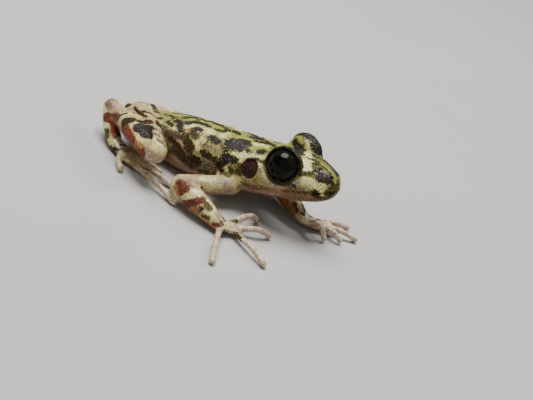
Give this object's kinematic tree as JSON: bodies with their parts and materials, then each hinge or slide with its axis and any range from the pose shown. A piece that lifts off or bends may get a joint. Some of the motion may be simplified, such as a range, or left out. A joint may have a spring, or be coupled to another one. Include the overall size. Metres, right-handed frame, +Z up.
{
  "type": "mallorcan midwife toad",
  "caption": "Life-size model of a Mallorcan midwife toad sitting with raised head, folded hind legs and spread fingers.",
  "frame": {"origin": "on the floor, under the middle of the whole animal's box", "axes": "+X forward, towards the snout; +Y to the animal's left; +Z up"},
  "size_m": [0.0472, 0.0408, 0.0145],
  "materials": {
    "skin_body": "gloss",
    "skin_leg": "gloss",
    "skin_digit": "satin",
    "eye": "gloss"
  },
  "bodies": {
    "root": {"head": "skin_body", "torso": "skin_body", "eye_left": "eye", "eye_right": "eye", "upper_arm_right": "skin_leg", "forearm_right": "skin_leg", "hand_right": "skin_digit", "thigh_right": "skin_leg", "shank_right": "skin_leg", "tarsus_right": "skin_leg", "foot_right": "skin_digit", "finger_right_1": "skin_digit", "finger_right_2": "skin_digit", "finger_right_3": "skin_digit", "finger_right_4": "skin_digit", "toe_right_1": "skin_digit", "toe_right_2": "skin_digit", "toe_right_3": "skin_digit", "toe_right_4": "skin_digit", "toe_right_5": "skin_digit", "upper_arm_left": "skin_leg", "forearm_left": "skin_leg", "hand_left": "skin_digit", "thigh_left": "skin_leg", "shank_left": "skin_leg", "tarsus_left": "skin_leg", "foot_left": "skin_digit", "finger_left_1": "skin_digit", "finger_left_2": "skin_digit", "finger_left_3": "skin_digit", "finger_left_4": "skin_digit", "toe_left_1": "skin_digit", "toe_left_2": "skin_digit", "toe_left_3": "skin_digit", "toe_left_4": "skin_digit", "toe_left_5": "skin_digit"}
  },
  "joints": []
}
